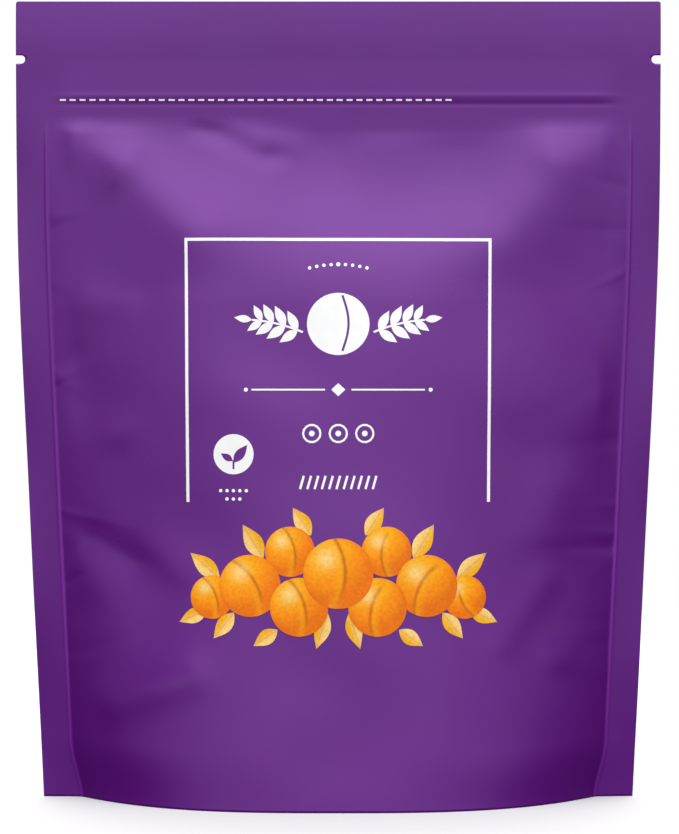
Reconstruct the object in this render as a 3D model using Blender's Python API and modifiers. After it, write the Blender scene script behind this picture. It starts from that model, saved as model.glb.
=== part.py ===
"""A filled stand-up pouch of dried apricots.

Two walls of film are sealed together down both sides and across the top. A folded gusset
closes the base and lets the pouch stand. A press-to-close zip runs under the top seal, tear
notches stand above it, and the fruit lies in a loose pile inside.

Metres, +Z up. The front wall faces -Y. The origin is on the surface that the pouch stands on,
under the middle of its base.
"""

import math

import bmesh
import bpy
import numpy as np
from mathutils import Euler, Vector

# Film and seals
FLAT_WIDTH = 0.160  # of the empty pouch, edge to edge
HEIGHT = 0.197
FILM = 0.0003  # thickness of one wall
SEALED_GAP = 0.0003  # kept between two walls that are sealed together
SIDE_SEAL = 0.0074
FOOT_FLARE = 0.0021  # how much wider the side seals are at the very bottom
FOOT_FLARE_HEIGHT = 0.014
TOP_CORNER = 0.0006

# Taper: the fuller the pouch, the closer its sides come together
TAPER = 0.0505  # by how much half the width narrows for each unit of height downwards
TAPER_TOP = 0.138  # height where it starts
TAPER_EASE = 0.020  # how softly it starts

# Belly: how far the filled walls stand out from the middle plane
BELLY_TOP = 0.1690  # height where the walls meet again, under the zip
BELLY_LEAN = 0.115  # how much deeper the belly gets for each unit of height downwards
BELLY_EASE = 0.006  # how softly that starts
BELLY_SHOULDER = 0.0072  # further depth that it gains in the curve under the zip
BELLY_SHOULDER_DROP = 0.048  # height of that curve
BELLY_ROUND = 2.1  # power of the level section halfway up, 2 for a parabola
FOOT_ROUND = 3.0  # the same at the base, flatter in front and rounder at the sides
FOOT_SPAN = 0.060  # height over which it changes
SHOULDER_ROUND = 5.0  # the same under the zip
SHOULDER_SPAN = (0.124, 0.165)  # heights between which it changes
HEADER_LEAN = 0.0004  # how far the top edge leans back
HEADER_SAG = 0.0003  # how far the film below it leans forwards
HEADER_SAG_SPAN = 0.7  # share of the header's height over which that lean grows

# Zip
ZIP_HEIGHT = 0.1730
ZIP_HALF_LENGTH = 0.0695
ZIP_FADE = 0.03  # share of the belly's width over which the walls close at each end
FLANGE_HALF = 0.0050
FLANGE_SWELL = 0.00035  # how far the flanges push each wall out
FLANGE_SLOPE = 0.0015  # height over which the wall comes back
FLANGE_SLACK = 0.0002
TRACK_HALF = 0.0018
TRACK_SWELL = 0.00075
TRACK_SLOPE = 0.0008

# Tear notches
NOTCH_HEIGHT = 0.1826
NOTCH_DEPTH = 0.0024
NOTCH_RADIUS = 0.00105

# Gusset
GUSSET_REACH = 0.975  # share of the belly's width that it spans
GUSSET_RISE = 0.034  # height of its fold at the side seals
GUSSET_SKIRT = 0.004  # height of its seal to the walls in the middle
GUSSET_SKIRT_POWER = 3.0
FLOOR_FLAT = 0.30  # share of the width over which the floor lies flat
FLOOR_RISE_POWER = 2.0
FLOOR_EDGE = 0.60  # share of the depth over which the floor is level
GUSSET_INSET = 0.00075  # from a wall's middle surface to the gusset's

# Fruit
FRUIT_COUNT = 21
FRUIT_RADIUS = 0.0150
FRUIT_HALF_THICKNESS = 0.0054
FRUIT_CLEARANCE = 0.0004
FRUIT_SPREAD = (0.050, 0.020)  # how far from the middle a fruit's centre may be
FRUIT_TILT = 0.35  # spread of the tilts, in radians
FRUIT_TRIES = 2500
FRUIT_SEED = 15
FOLD_ROOM = 0.0006  # kept clear inside the walls for their folds
SIDE_SLOPE = 0.43  # further room at the sides, where the walls slope more

# Broad soft folds in the walls: from x, z to x, z, then half width and height, in millimetres.
# The front and the back each have their own. They fade out towards the zip, the side seals and the foot.
FOLD_FADE_TOP = 0.025
FOLD_FADE_SIDE = 0.12  # share of the way from the middle to a side seal
FOLD_FADE_FOOT = 0.02
FRONT_FOLDS = [
    (-52, 155, -36, 139, 8, 1.1),
    (-57, 137, -52, 129, 10, -0.6),
    (-27, 138, -30, 104, 14, 1.0),
    (-60, 64, -46, 55, 7, -0.6),
    (-54, 25, -36, 32, 7, 0.7),
    (52, 155, 40, 138, 9, 1.0),
    (61, 136, 57, 126, 10, -0.6),
    (58, 101, 60, 97, 12, 0.9),
    (50, 54, 40, 40, 7, 0.6),
]
BACK_FOLDS = [
    (-60, 160, -34, 146, 8, 1.0),
    (30, 158, 56, 148, 8, 1.0),
    (-16, 132, 16, 122, 14, 0.6),
    (24, 100, 36, 86, 13, 0.6),
    (-62, 98, -42, 86, 7, -0.5),
    (-54, 76, -38, 66, 8, 0.7),
    (62, 72, 44, 58, 7, -0.5),
    (52, 42, 34, 34, 7, 0.5),
]
MM = 0.001

# Grid of the walls
WALL_COLUMNS = 25
BELLY_ROWS = 30
COLUMN_CROWDING = 0.86  # how much closer the columns are at the side seals: 0 even, 1 closest

PURPLE = (0.163, 0.040, 0.270, 1.0)
CLEAR_PLASTIC = (0.80, 0.80, 0.82, 1.0)
APRICOT = (0.80, 0.30, 0.03, 1.0)


def smooth(t):
    """0 below 0, 1 above 1 and an even S between."""
    t = np.clip(t, 0.0, 1.0)
    return t * t * (3.0 - 2.0 * t)


def plateau(distance, half_width, edge):
    """1 within half_width, falling to 0 over the edge outside it."""
    return 1.0 - smooth((abs(distance) - half_width) / edge)


# The shape of the filled film


def seal_width(z):
    flare = (1.0 - smooth(z / FOOT_FLARE_HEIGHT)) * FOOT_FLARE
    return SIDE_SEAL + flare


def belly_depth(z):
    """How far the middle of a wall stands out at height z."""
    below = np.maximum(0.0, BELLY_TOP - z)
    lean = BELLY_LEAN * (np.hypot(below, BELLY_EASE) - BELLY_EASE)
    return lean + BELLY_SHOULDER * smooth(below / BELLY_SHOULDER_DROP)


def belly_point(share, z):
    """How far a wall stands out at height z and a share of the way from the middle to a side seal."""
    low, high = SHOULDER_SPAN
    power = BELLY_ROUND + (SHOULDER_ROUND - BELLY_ROUND) * smooth((z - low) / (high - low))
    power = power + (FOOT_ROUND - BELLY_ROUND) * (1.0 - smooth(z / FOOT_SPAN))
    return belly_depth(z) * (1.0 - np.minimum(abs(share), 1.0) ** power)


def half_chord(z):
    """Half the straight distance between the side seals at height z."""
    below = TAPER_TOP - z
    narrower = TAPER * (below + np.hypot(below, TAPER_EASE)) / 2
    return FLAT_WIDTH / 2 - narrower - seal_width(z)


def corner_inset(z):
    """How far the rounded top corners draw the side edges in."""
    above = max(0.0, z - (HEIGHT - TOP_CORNER))
    return TOP_CORNER - math.sqrt(max(0.0, TOP_CORNER**2 - above**2))


def header_lean(z):
    """How far both walls lean back above the zip, after a slight lean forwards."""
    above = max(0.0, (z - ZIP_HEIGHT) / (HEIGHT - ZIP_HEIGHT))
    return HEADER_LEAN * above**4 - HEADER_SAG * smooth(above / HEADER_SAG_SPAN)


def zip_swell(z):
    """How far each wall stands out round the zip."""
    off = z - ZIP_HEIGHT
    flange = FLANGE_SWELL * plateau(off, FLANGE_HALF + FLANGE_SLACK, FLANGE_SLOPE)
    return flange + TRACK_SWELL * plateau(off, TRACK_HALF, TRACK_SLOPE)


def fold_height(folds, x, z):
    """Sum of the soft folds at a point of a wall. A fold is a ridge, or a dent if its height is negative."""
    total = 0.0
    for x0, z0, x1, z1, half_width, height in folds:
        start, end = Vector((x0, z0)) * MM, Vector((x1, z1)) * MM
        along = end - start
        t = (Vector((x, z)) - start).dot(along) / along.length_squared
        nearest = start + along * min(1.0, max(0.0, t))
        away = (Vector((x, z)) - nearest).length / (half_width * MM)
        total += height * MM * math.exp(-(away**2))
    return total


def wall_point(side, folds, share, z, inset=0.0):
    """A point of a wall's middle surface.

    side is -1 for the front and 1 for the back. share runs from -1 to 1 across the belly,
    and on to -2 and 2 at the outer edges of the side seals.
    """
    chord = half_chord(z)
    belly = min(abs(share), 1.0)
    fin = (abs(share) - belly) * (seal_width(z) - corner_inset(z))
    x = math.copysign(belly * chord + fin, share)
    y = (FILM + SEALED_GAP) / 2 - inset
    y += belly_point(share, z)
    if abs(share) < 1.0:
        calm = smooth((1.0 - abs(share)) / FOLD_FADE_SIDE) * smooth(z / FOLD_FADE_FOOT)
        y += fold_height(folds, x, z) * calm * smooth((BELLY_TOP - z) / FOLD_FADE_TOP)
        y += zip_swell(z) * smooth((1.0 - abs(share)) / ZIP_FADE)
    return Vector((x, side * y + header_lean(z), z))


# Objects


def clear_scene():
    for obj in list(bpy.data.objects):
        bpy.data.objects.remove(obj, do_unlink=True)


def new_collection(name):
    collection = bpy.data.collections.new(name)
    bpy.context.scene.collection.children.link(collection)
    return collection


def material(name, colour, roughness, metallic=0.0):
    made = bpy.data.materials.new(name)
    made.use_nodes = True
    shader = made.node_tree.nodes["Principled BSDF"]
    shader.inputs["Base Color"].default_value = colour
    shader.inputs["Roughness"].default_value = roughness
    shader.inputs["Metallic"].default_value = metallic
    made.diffuse_color = colour
    return made


def object_from(bm, name, collection, finish=None):
    mesh = bpy.data.meshes.new(name)
    bm.to_mesh(mesh)
    bm.free()
    if finish:
        mesh.materials.append(finish)
    obj = bpy.data.objects.new(name, mesh)
    collection.objects.link(obj)
    return obj


def sheet(name, columns, rows, place, collection, finish):
    """An open grid whose vertex in column i and row j is at place(columns[i], rows[j]), thickened to the film."""
    bm = bmesh.new()
    across, up = len(columns) - 1, len(rows) - 1
    bmesh.ops.create_grid(bm, x_segments=across, y_segments=up, size=1.0)
    for vertex in bm.verts:
        i = round((vertex.co.x + 1.0) / 2 * across)
        j = round((vertex.co.y + 1.0) / 2 * up)
        vertex.co = place(columns[i], rows[j])
    obj = object_from(bm, name, collection, finish)
    obj.data.shade_smooth()
    film = obj.modifiers.new("Film", "SOLIDIFY")
    film.thickness = FILM
    film.offset = 0.0
    return obj


def belly_columns(count):
    """Shares across the belly, closer together towards the side seals."""
    turn = COLUMN_CROWDING * math.pi / 2
    return list(np.sin(np.linspace(-turn, turn, count)) / math.sin(turn))


def wall_rows():
    """Heights of the wall's rows: even up the belly, close at the zip and at the top corners."""
    belly = list(np.linspace(0.0, 0.160, BELLY_ROWS))
    shoulder = [0.1635, BELLY_TOP - 0.0028]
    flange = FLANGE_HALF + FLANGE_SLACK
    zone = [flange + FLANGE_SLOPE, flange, TRACK_HALF + TRACK_SLOPE, TRACK_HALF]
    track = [ZIP_HEIGHT - off for off in zone] + [ZIP_HEIGHT + off for off in reversed(zone)]
    header = [0.1826, 0.1875, 0.1925]
    corner = [HEIGHT - TOP_CORNER * share for share in (1.0, 0.4, 0.1, 0.0)]
    return belly + shoulder + track + header + corner


def wall(name, side, folds, collection, finish):
    columns = [-2.0, *belly_columns(WALL_COLUMNS), 2.0]
    return sheet(
        name, columns, wall_rows(), lambda share, z: wall_point(side, folds, share, z), collection, finish
    )


def notch_cutter(side, collection):
    """A slot with a round end that opens through the outer edge, long enough to pass both walls."""
    bm = bmesh.new()
    edge = FLAT_WIDTH / 2
    centre = edge - NOTCH_DEPTH + NOTCH_RADIUS
    angles = np.linspace(math.pi / 2, 3 * math.pi / 2, 9)
    outline = [(centre + NOTCH_RADIUS * math.cos(a), NOTCH_RADIUS * math.sin(a)) for a in angles]
    outline += [(edge + 0.002, -NOTCH_RADIUS), (edge + 0.002, NOTCH_RADIUS)]
    corners = [bm.verts.new((side * x, -0.004, NOTCH_HEIGHT + z)) for x, z in outline]
    face = bm.faces.new(corners)
    pulled = bmesh.ops.extrude_face_region(bm, geom=[face])["geom"]
    moved = [item for item in pulled if isinstance(item, bmesh.types.BMVert)]
    bmesh.ops.translate(bm, verts=moved, vec=(0.0, 0.010, 0.0))
    bmesh.ops.recalc_face_normals(bm, faces=bm.faces)
    obj = object_from(bm, "notch_cutter_left" if side < 0 else "notch_cutter_right", collection)
    obj.hide_render = True
    obj.display_type = "WIRE"
    return obj


def cut(obj, cutter):
    modifier = obj.modifiers.new(cutter.name, "BOOLEAN")
    modifier.operation = "DIFFERENCE"
    modifier.object = cutter


# Gusset


def skirt_height(share):
    """Height of the seal between the gusset and a wall. It climbs in a curve to the side seals."""
    return GUSSET_SKIRT + (GUSSET_RISE - GUSSET_SKIRT) * abs(share) ** GUSSET_SKIRT_POWER


def floor_height(share):
    """Height of the gusset's fold line: on the ground in the middle, high at the side seals."""
    climb = np.maximum(0.0, (abs(share) - FLOOR_FLAT) / (1.0 - FLOOR_FLAT))
    return FILM / 2 + (GUSSET_RISE - FILM / 2) * climb**FLOOR_RISE_POWER


def gusset_point(share, row):
    """Row runs from -2 at the front wall's bottom edge, through -1 where the floor leaves
    the front wall and 0 at the fold line, to 2 at the back wall's bottom edge."""
    side = -1 if row < 0 else 1
    folds = FRONT_FOLDS if side < 0 else BACK_FOLDS
    skirt = skirt_height(share)
    if abs(row) >= 1.0:
        return wall_point(side, folds, share, (2.0 - abs(row)) * skirt, GUSSET_INSET)
    rim = wall_point(side, folds, share, skirt, GUSSET_INSET)
    drop = smooth((abs(row) - FLOOR_EDGE) / (1.0 - FLOOR_EDGE))
    z = floor_height(share) + (skirt - floor_height(share)) * drop
    return Vector((rim.x, rim.y * abs(row), z))


def gusset(collection, finish):
    columns = [c for c in belly_columns(WALL_COLUMNS) if abs(c) < GUSSET_REACH]
    half = [0.0, 0.3, FLOOR_EDGE, 0.75, 0.88, 1.0, 1.5, 2.0]
    rows = [-row for row in reversed(half[1:])] + half
    return sheet("bottom_gusset", columns, rows, gusset_point, collection, finish)


# Zip: outlines as (depth, height) in millimetres, the upper half of each from the inside out


RIB_UPPER = [(0.55, 0.0), (0.42, 0.36), (0.10, 0.50), (-0.10, 0.50), (-0.10, 0.25), (-0.75, 0.25)]
RIB_UPPER += [(-0.75, 1.45), (-0.20, 1.75), (-0.20, 5.0), (-0.35, 5.0), (-0.35, 2.05), (-1.05, 1.60)]
CHANNEL_UPPER = [(0.75, 0.0), (0.75, 0.80), (-0.20, 0.80), (-0.20, 0.45), (-0.50, 0.45), (-0.50, 1.10)]
CHANNEL_UPPER += [(0.75, 1.10), (0.75, 1.45), (0.20, 1.75), (0.20, 5.0), (0.35, 5.0), (0.35, 2.05)]
CHANNEL_UPPER += [(1.05, 1.60)]


def zip_strip(name, upper, collection, finish):
    """An extruded strip: a flat outline of (depth, height) drawn out along X."""
    lower = [(depth, -height) for depth, height in reversed(upper) if height > 0.0]
    outline = [(depth * MM, height * MM) for depth, height in upper + lower]
    curve = bpy.data.curves.new(name, "CURVE")
    curve.dimensions = "2D"
    curve.fill_mode = "BOTH"
    curve.extrude = ZIP_HALF_LENGTH
    spline = curve.splines.new("POLY")
    spline.points.add(len(outline) - 1)
    for point, (depth, height) in zip(spline.points, outline):
        point.co = (depth, height, 0.0, 1.0)
    spline.use_cyclic_u = True
    curve.materials.append(finish)
    obj = bpy.data.objects.new(name, curve)
    obj.location = (0.0, 0.0, ZIP_HEIGHT)
    obj.rotation_euler = Euler((math.pi / 2, 0.0, math.pi / 2))
    collection.objects.link(obj)


# Fruit


def fruit_spheres():
    """Centres of small spheres that together fill one flat round fruit, to keep the fruits apart."""
    ring = FRUIT_RADIUS - FRUIT_HALF_THICKNESS
    turns = np.arange(12) * math.tau / 12
    outer = [(ring * math.cos(a), ring * math.sin(a), 0.0) for a in turns]
    inner = [(ring / 2 * math.cos(a), ring / 2 * math.sin(a), 0.0) for a in turns[::2]]
    return np.array(outer + inner + [(0.0, 0.0, 0.0)])


def pile():
    """Centre and rotation of each fruit.

    The fruits stand on edge between the walls, as they do in a narrow pouch. Each one tries many
    seeded random places and tilts, is let down until it touches the gusset or another fruit, and
    takes the place where its top is lowest, among those that fit between the walls.
    """
    draw = np.random.default_rng(FRUIT_SEED)
    reach = FRUIT_HALF_THICKNESS + FRUIT_CLEARANCE
    spheres = fruit_spheres()
    placed, found = np.zeros((0, 3)), []
    for _ in range(FRUIT_COUNT):
        loose = draw.uniform(0.0, 1.0, (FRUIT_TRIES, 1))
        spots = draw.uniform(-1.0, 1.0, (FRUIT_TRIES, 2)) * FRUIT_SPREAD
        spots[:, 1:] *= loose
        tilts = draw.normal(0.0, FRUIT_TILT, (FRUIT_TRIES, 2)) * loose
        turns = [Euler((math.pi / 2 + tilt, 0.0, yaw)) for tilt, yaw in tilts]
        points = np.array([spheres @ np.array(turn.to_matrix()).T for turn in turns])
        points[:, :, :2] += spots[:, None, :]
        x, y, z = points.transpose(2, 0, 1)
        share = np.minimum(0.95, abs(x) / half_chord(GUSSET_SKIRT))
        toward = (abs(y) + reach / 2) / belly_point(share, GUSSET_SKIRT)
        climb = smooth((toward - FLOOR_EDGE) / (1.0 - FLOOR_EDGE))
        ground = floor_height(share) * (1.0 - climb) + skirt_height(share) * climb + FILM
        drop = (ground + reach - z).max(axis=1)
        if len(placed):
            apart = np.hypot(x[:, :, None] - placed[:, 0], y[:, :, None] - placed[:, 1])
            over = np.sqrt(np.maximum(0.0, (2 * reach) ** 2 - apart**2))
            touch = np.where(over > 0.0, placed[:, 2] + over - z[:, :, None], -1.0)
            drop = np.maximum(drop, touch.max(axis=(1, 2)))
        z = z + drop[:, None]
        room = belly_point(x / half_chord(z), z) - FOLD_ROOM
        steep = 1.0 + SIDE_SLOPE * (x / half_chord(z)) ** 2
        fits = (abs(y) + reach * steep < room).all(axis=1)
        if not fits.any():
            break
        top = np.where(fits, z.max(axis=1), np.inf)
        best = int(np.argmin(top))
        placed = np.vstack([placed, np.stack([x[best], y[best], z[best]], axis=1)])
        found.append((Vector((*spots[best], drop[best])), turns[best]))
    return found


def fruit(name, centre, turn, seed, collection, finish):
    """One dried apricot: a flattened round, sunk in the middle where the stone was, with a cleft."""
    draw = np.random.default_rng(seed)
    phase = draw.uniform(0.0, math.tau, 3)
    sunk = draw.uniform(0.25, 0.45)
    bm = bmesh.new()
    bmesh.ops.create_uvsphere(bm, u_segments=12, v_segments=8, radius=1.0)
    for vertex in bm.verts:
        x, y, z = vertex.co
        angle = math.atan2(y, x)
        flat = min(1.0, math.hypot(x, y))
        outline = 0.955 + 0.03 * math.sin(2 * angle + phase[0]) + 0.015 * math.sin(3 * angle + phase[1])
        cleft = 0.10 * math.exp(-((1.0 - math.cos(angle - phase[2])) / 0.05)) * flat
        squash = 1.0 - sunk * math.exp(-((flat / 0.45) ** 2)) - cleft
        spread = flat**0.8 if flat > 0.0 else 0.0
        radius = FRUIT_RADIUS * outline * (1.0 - cleft) * spread
        vertex.co = (
            radius * math.cos(angle),
            radius * math.sin(angle),
            FRUIT_HALF_THICKNESS * 0.98 * z * squash,
        )
    obj = object_from(bm, name, collection, finish)
    obj.data.shade_smooth()
    obj.location = centre
    obj.rotation_euler = turn
    return obj


def main():
    clear_scene()
    parts = new_collection("Pouch of dried apricots")
    cutters = new_collection("Cutters")
    film = material("Printed film", PURPLE, 0.38)
    clear = material("Zip plastic", CLEAR_PLASTIC, 0.25)
    flesh = material("Dried apricot", APRICOT, 0.5)
    notches = [notch_cutter(side, cutters) for side in (-1, 1)]
    walls = [wall("wall_front", -1, FRONT_FOLDS, parts, film), wall("wall_back", 1, BACK_FOLDS, parts, film)]
    for obj in walls:
        for notch in notches:
            cut(obj, notch)
    gusset(parts, film)
    zip_strip("zip_rib_strip", RIB_UPPER, parts, clear)
    zip_strip("zip_channel_strip", CHANNEL_UPPER, parts, clear)
    for number, (centre, turn) in enumerate(pile(), start=1):
        fruit(f"apricot_{number:02d}", centre, turn, number, parts, flesh)


main()
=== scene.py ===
import math

import bmesh
import bpy
import numpy as np
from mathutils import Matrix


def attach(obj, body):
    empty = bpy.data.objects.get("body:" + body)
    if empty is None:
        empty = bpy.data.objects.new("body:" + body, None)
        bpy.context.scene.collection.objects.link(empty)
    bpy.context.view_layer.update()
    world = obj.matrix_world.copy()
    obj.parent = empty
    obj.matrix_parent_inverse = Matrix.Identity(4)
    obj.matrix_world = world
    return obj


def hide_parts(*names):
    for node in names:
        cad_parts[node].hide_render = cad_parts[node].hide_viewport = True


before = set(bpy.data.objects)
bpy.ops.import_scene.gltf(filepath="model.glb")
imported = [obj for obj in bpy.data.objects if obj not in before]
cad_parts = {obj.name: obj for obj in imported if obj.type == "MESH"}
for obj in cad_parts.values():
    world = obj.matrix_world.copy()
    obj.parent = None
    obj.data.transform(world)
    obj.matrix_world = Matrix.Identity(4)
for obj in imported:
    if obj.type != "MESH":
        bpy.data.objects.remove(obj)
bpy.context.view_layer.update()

MM = 0.001
FRONT, BACK = -1, 1  # which way a wall faces along Y
EDGES = (-1, 1)  # the left and the right side seal

# The pouch's own sizes, as in the part's source
FLAT_WIDTH = 0.160
TAPER = 0.0505
TAPER_TOP = 0.138
TAPER_EASE = 0.020
HEIGHT = 0.197
SIDE_SEAL = 0.0074
FOOT_FLARE = 0.0021
FOOT_FLARE_HEIGHT = 0.014
TOP_CORNER = 0.0006
BELLY_TOP = 0.1690
BELLY_LEAN = 0.115
BELLY_EASE = 0.006
BELLY_SHOULDER = 0.0072
BELLY_SHOULDER_DROP = 0.048
BELLY_ROUND = 2.1
FOOT_ROUND = 3.0
FOOT_SPAN = 0.060
SHOULDER_ROUND = 5.0
SHOULDER_SPAN = (0.124, 0.165)
HEADER_LEAN = 0.0004  # how far the top edge leans back
HEADER_SAG = 0.0003  # how far the film below it leans forwards
HEADER_SAG_SPAN = 0.7  # share of the header's height over which that lean grows
ZIP_HEIGHT = 0.1730
NOTCH_HEIGHT = 0.1826
NOTCH_DEPTH = 0.0024
NOTCH_RADIUS = 0.00105
GUSSET_RISE = 0.034
GUSSET_SKIRT = 0.004
GUSSET_SKIRT_POWER = 3.0
FLOOR_FLAT = 0.30
FLOOR_RISE_POWER = 2.0
FLOOR_EDGE = 0.60

# Only in the picture: thinner film and closed seams
FILM = 0.00022
WALL_OFFSET = 0.00016  # of a wall's middle surface from the middle plane
GUSSET_REACH = 0.985
GUSSET_INSET = 0.00045
ZIP_PRESS = (0.93, 0.18, 1.0)  # scale of the zip strips against their solids
FIN_SWEEP = 0.0005  # how far the fins' edges lie back
FIN_SWAY = 0.0003
FIN_SWAY_RATE = 95.0  # radians for each metre of height
FIN_SWAY_SHIFT = 1.7  # radians between the left fin and the right
FIN_FADE = (0.150, 0.180)  # heights over which the fins come to lie flat

# Relief over the zip, with heights from its middle line
ZIP_LINE = ZIP_HEIGHT - 0.0006
ZIP_SWELL = 0.00024  # a slow rise from above
ZIP_SWELL_SPAN = (0.001, 0.011)
ZIP_LIP = 0.00009  # a fine ridge over the groove
ZIP_LIP_HEIGHT = 0.0012
ZIP_LIP_WIDTH = 0.0007
ZIP_STEP = 0.00013  # the groove's step back
ZIP_STEP_SPAN = (-0.0010, 0.0004)
ZIP_RETURN = 0.00005  # how far the film comes out again under it
ZIP_RETURN_SPAN = (-0.0017, -0.0011)
ZIP_FADE = (-0.030, -0.008)  # over these the relief fades out downwards
ZIP_END = 0.12  # share of the belly's width over which the relief dies out at each end

# Creases at the inner edges of the side seals, with a painted highlight along them
CREASE_HEIGHT = 0.00034
CREASE_WIDTH = 0.00036
CREASE_FADE = (0.160, 0.168)
CREASE_UPPER_HIGHLIGHT = 0.4  # strength of the crease's painted highlight in its upper part, with 1 at its foot
# heights over which the crease's painted highlight weakens to that strength
CREASE_HIGHLIGHT_SPAN = (0.060, 0.120)

# How relief fades out: over a share of the belly's width at the seals, from the foot and under the zip
FOLD_FADE = {"side": 0.10, "foot": 0.012, "top": (0.164, 0.169)}
PUCKER_FADE = {"side": 0.02, "foot": 0.010, "top": (0.160, 0.166)}
WAVE_FADE = {"side": 0.30, "foot": 0.020, "top": (0.160, 0.166)}

# Short wrinkles at the side seals
PUCKER_SEED = 7
PUCKER_COUNT = 15  # along each seal
PUCKER_PLACES = (0.012, 0.158)
PUCKER_WIDTHS = (0.0011, 0.0024)
PUCKER_LENGTHS = (0.005, 0.014)
PUCKER_HEIGHTS = (0.00004, 0.00011)
PUCKER_SLOPES = (-0.5, 0.5)

# Slow waves in the film
WAVE_SEED = 3
WAVE_COUNT = 14
WAVE_LENGTHS = (0.018, 0.060)
WAVE_HEIGHT = 0.00005  # of a wave of the next length
WAVE_LENGTH = 0.03
WAVE_GROWTH = 1.3  # power by which longer waves are higher

# Folds: from x, z to x, z, then half width and height, in millimetres, and how sharp the crest is
CREST_ROUND = 0.2
CREST_FALL = 1.6
FRONT_FOLDS = [
    (-64, 162, -55, 157, 6.5, 0.9, 0.0),
    (-52, 155, -36, 139, 8.0, 1.2, 0.0),
    (-27, 138, -30, 104, 14.0, 1.1, 0.0),
    (-57, 137, -52, 129, 10.0, -0.7, 0.0),
    (-4, 149, 32, 149, 13.0, -1.0, 0.0),
    (-2, 127, 30, 127, 24.0, -0.6, 0.0),
    (-34, 166, -18, 158, 3.0, -0.35, 0.0),
    (-16, 159, -14, 159, 3.0, -0.25, 0.0),
    (-24, 165, -12, 161, 3.6, 0.25, 0.0),
    (-62, 123, -53, 121, 5.0, 0.45, 0.0),
    (-65, 108, -62, 98, 6.0, -0.4, 0.0),
    (-55, 91, -54, 91, 5.0, 0.35, 0.0),
    (-60, 64, -49, 58, 4.4, -0.5, 0.1),
    (-49, 57, -44, 51, 8.0, -0.4, 0.0),
    (-62, 56, -60, 54, 6.0, 0.4, 0.0),
    (-42, 60, -36, 56, 5.0, 0.4, 0.0),
    (-54, 25, -36, 32, 5.6, 0.75, 0.0),
    (64, 160, 57, 156, 6.5, 0.5, 0.0),
    (54, 155, 41, 138, 9.0, 1.0, 0.0),
    (61, 136, 57, 126, 10.0, -0.7, 0.0),
    (52, 159, 52, 160, 5.0, 0.4, 0.0),
    (58, 101, 60, 97, 12.0, 0.9, 0.0),
    (66, 100, 64, 106, 5.0, 0.3, 0.0),
    (52, 76, 50, 66, 7.0, 0.5, 0.0),
    (50, 54, 40, 40, 4.6, 0.5, 0.1),
    (54, 36, 53, 36, 5.0, 0.45, 0.0),
]
BACK_FOLDS = [
    (-60, 160, -34, 146, 8.0, 1.0, 0.0),
    (-63, 146, -54, 132, 7.0, -0.7, 0.0),
    (30, 158, 56, 148, 8.0, 1.0, 0.0),
    (65, 146, 57, 130, 7.0, -0.7, 0.0),
    (-18, 161, 2, 157, 3.6, -0.3, 0.0),
    (-16, 132, 16, 122, 14.0, 0.6, 0.0),
    (24, 100, 36, 86, 13.0, 0.6, 0.0),
    (-62, 98, -42, 86, 7.0, -0.5, 0.1),
    (-54, 76, -38, 66, 8.0, 0.7, 0.0),
    (62, 72, 44, 58, 6.0, -0.5, 0.2),
    (52, 42, 34, 34, 6.0, 0.5, 0.1),
    (-60, 34, -42, 26, 5.0, -0.4, 0.1),
]

# Grids: across and up in each wall, as shares of the belly or the fins and as heights
FRONT_GRID = (250, 330)
BACK_GRID = (150, 200)
GUSSET_COLUMNS = 121
COLUMN_CROWDING = 0.9  # how much closer the columns are at the seals: 0 even, 1 closest
SEAM_COLUMNS = (0.981, 0.986, 0.9895, 0.993, 0.9965, 1.0)
BELLY_REACH = 0.977  # share up to which the belly's own columns go
FIN_COLUMNS = (1.03, 1.06, 1.1, 1.16, 1.25, 1.4, 1.6, 1.8, 1.93, 1.98, 2.0)
BELLY_ROWS_TOP = 0.164
ZIP_ROWS = (0.1645, 0.1802, 0.00028)  # from, to and step
HEADER_ROWS_FOOT = 0.1806
HEADER_ROWS = 34
CORNER_ROWS = (0.7, 0.4, 0.2, 0.08, 0.02, 0.0)  # shares of the corner's radius under the top edge
FLOOR_ROWS = 9
RIM_ROWS = 14
SKIRT_ROWS = (1.25, 1.5, 1.75, 2.0)


def smooth(t):
    """0 below 0, 1 above 1 and an even S between."""
    t = np.clip(t, 0.0, 1.0)
    return t * t * (3.0 - 2.0 * t)


def over(value, span):
    """0 below the span, 1 above it and an even S within."""
    low, high = span
    return smooth((value - low) / (high - low))


def bump(distance, width):
    return np.exp(-((distance / width) ** 2))


# The shape of the filled film


def seal_width(z):
    return SIDE_SEAL + (1.0 - smooth(z / FOOT_FLARE_HEIGHT)) * FOOT_FLARE


def belly_depth(z):
    """How far the middle of a wall stands out."""
    below = np.maximum(0.0, BELLY_TOP - z)
    lean = BELLY_LEAN * (np.hypot(below, BELLY_EASE) - BELLY_EASE)
    return lean + BELLY_SHOULDER * smooth(below / BELLY_SHOULDER_DROP)


def belly_point(share, z):
    """How far a wall stands out. Its level section is round halfway up, flatter at foot and shoulder."""
    power = BELLY_ROUND + (SHOULDER_ROUND - BELLY_ROUND) * over(z, SHOULDER_SPAN)
    power = power + (FOOT_ROUND - BELLY_ROUND) * (1.0 - smooth(z / FOOT_SPAN))
    return belly_depth(z) * (1.0 - np.minimum(abs(share), 1.0) ** power)


def half_chord(z):
    """From the middle to a side seal. The fuller the pouch, the closer its seals come together."""
    below = TAPER_TOP - z
    return FLAT_WIDTH / 2 - TAPER * (below + np.hypot(below, TAPER_EASE)) / 2 - seal_width(z)


def header_lean(z):
    """How far both walls lean back above the zip, after a slight lean forwards."""
    above = np.maximum(0.0, (z - ZIP_HEIGHT) / (HEIGHT - ZIP_HEIGHT))
    return HEADER_LEAN * above**4 - HEADER_SAG * smooth(above / HEADER_SAG_SPAN)


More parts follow.
